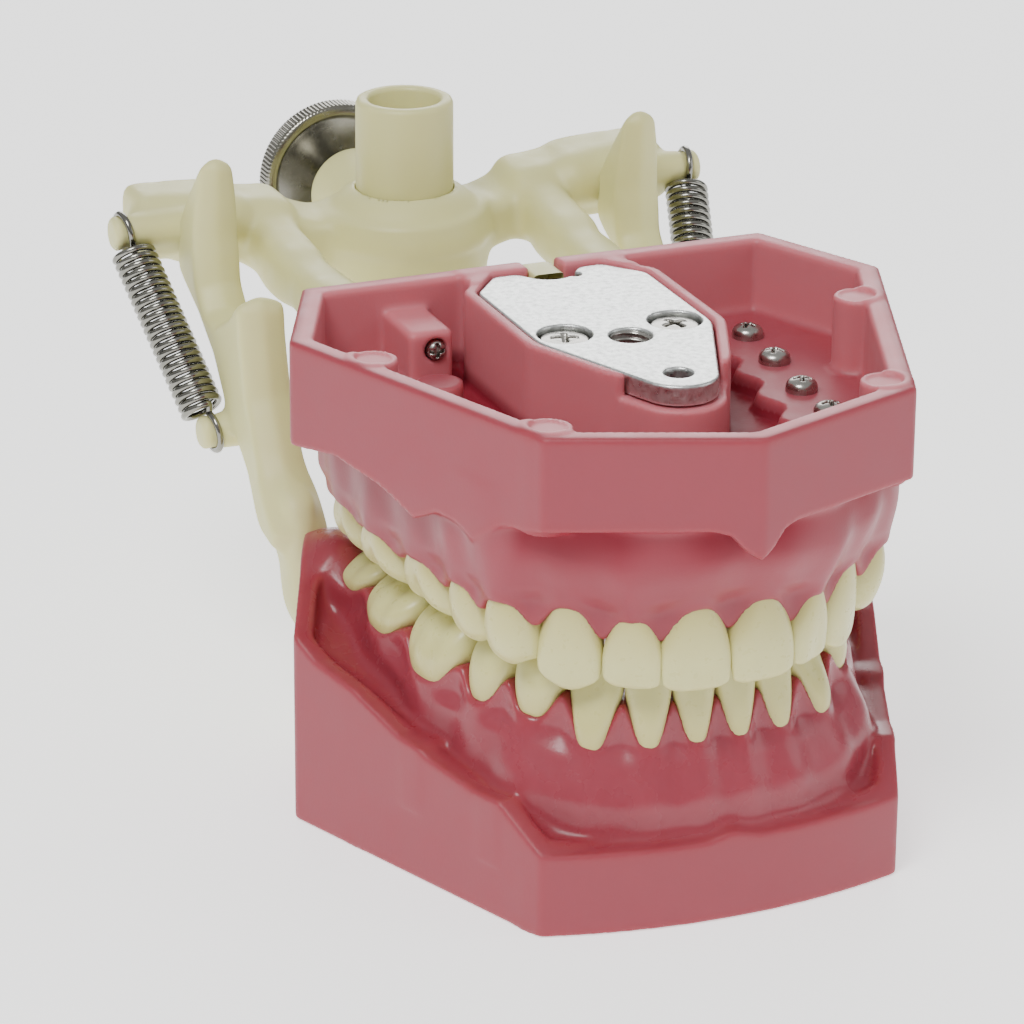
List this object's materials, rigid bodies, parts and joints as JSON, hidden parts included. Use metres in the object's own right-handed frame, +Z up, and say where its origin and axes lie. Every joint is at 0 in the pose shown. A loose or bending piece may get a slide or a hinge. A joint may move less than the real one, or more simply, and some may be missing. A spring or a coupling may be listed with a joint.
{
  "type": "typodont model",
  "caption": "Dental training jaws with removable teeth in translucent pink gum bases, held on a sprung articulator with a rod sleeve and a clamp knob.",
  "frame": {"origin": "centre of the bounding box in plan, on the surface that the lower base stands on", "axes": "+Z up, the front teeth face -Y, +X is towards the model's own left side"},
  "size_m": [0.0846, 0.1422, 0.0709],
  "materials": {
    "gum_plastic": "translucent pink moulded plastic, glossy on the gums, satin on the trimmed base",
    "tooth_resin": "ivory resin with a satin sheen",
    "frame_plastic": "cream moulded plastic, satin",
    "plate_steel": "bright steel plate with a finely mottled surface",
    "screw_steel": "bright steel screw heads",
    "spring_steel": "drawn spring wire",
    "knob_steel": "polished steel with a knurled rim"
  },
  "bodies": {
    "lower_assembly": {"lower_jaw": "gum_plastic", "lower_mount_plate": "plate_steel", "lower_plate_screw_right": "screw_steel", "lower_plate_screw_left": "screw_steel", "lower_articulator_frame": "frame_plastic", "right_spring": "spring_steel", "left_spring": "spring_steel", "lower_right_central_incisor": "tooth_resin", "lower_right_lateral_incisor": "tooth_resin", "lower_right_canine": "tooth_resin", "lower_right_first_premolar": "tooth_resin", "lower_right_second_premolar": "tooth_resin", "lower_right_first_molar": "tooth_resin", "lower_right_second_molar": "tooth_resin", "lower_right_third_molar": "tooth_resin", "lower_left_central_incisor": "tooth_resin", "lower_left_lateral_incisor": "tooth_resin", "lower_left_canine": "tooth_resin", "lower_left_first_premolar": "tooth_resin", "lower_left_second_premolar": "tooth_resin", "lower_left_first_molar": "tooth_resin", "lower_left_second_molar": "tooth_resin", "lower_left_third_molar": "tooth_resin"},
    "upper_assembly": {"upper_jaw": "gum_plastic", "upper_mount_plate": "plate_steel", "upper_plate_screw_right": "screw_steel", "upper_plate_screw_left": "screw_steel", "upper_articulator_frame": "frame_plastic", "mounting_sleeve": "frame_plastic", "upper_lock_screw": "screw_steel", "upper_right_central_incisor": "tooth_resin", "upper_right_lateral_incisor": "tooth_resin", "upper_right_canine": "tooth_resin", "upper_right_first_premolar": "tooth_resin", "upper_right_second_premolar": "tooth_resin", "upper_right_first_molar": "tooth_resin", "upper_right_second_molar": "tooth_resin", "upper_right_third_molar": "tooth_resin", "upper_left_central_incisor": "tooth_resin", "upper_left_lateral_incisor": "tooth_resin", "upper_left_canine": "tooth_resin", "upper_left_first_premolar": "tooth_resin", "upper_left_second_premolar": "tooth_resin", "upper_left_first_molar": "tooth_resin", "upper_left_second_molar": "tooth_resin", "upper_left_third_molar": "tooth_resin", "screw_upper_right_second_premolar": "screw_steel", "screw_upper_right_first_molar": "screw_steel", "screw_upper_right_second_molar": "screw_steel", "screw_upper_right_third_molar": "screw_steel", "screw_upper_left_second_premolar": "screw_steel", "screw_upper_left_first_molar": "screw_steel", "screw_upper_left_second_molar": "screw_steel", "screw_upper_left_third_molar": "screw_steel"},
    "clamp": {"clamp_knob": "knob_steel"}
  },
  "joints": [
    {"name": "jaw_opening", "type": "hinge", "parent": "lower_assembly", "child": "upper_assembly", "pos_m": [0, 0.0429, 0.0564], "axis": [-1, 0, 0], "range_deg": [0, 45], "stiffness_Nm_per_rad": 0.1, "springref_deg": -34.38, "deforming": ["right_spring", "left_spring"]},
    {"name": "clamp_knob_turn", "type": "hinge", "parent": "upper_assembly", "child": "clamp", "pos_m": [0, 0.0679, 0.052], "axis": [0, 1, 0], "continuous": true}
  ]
}
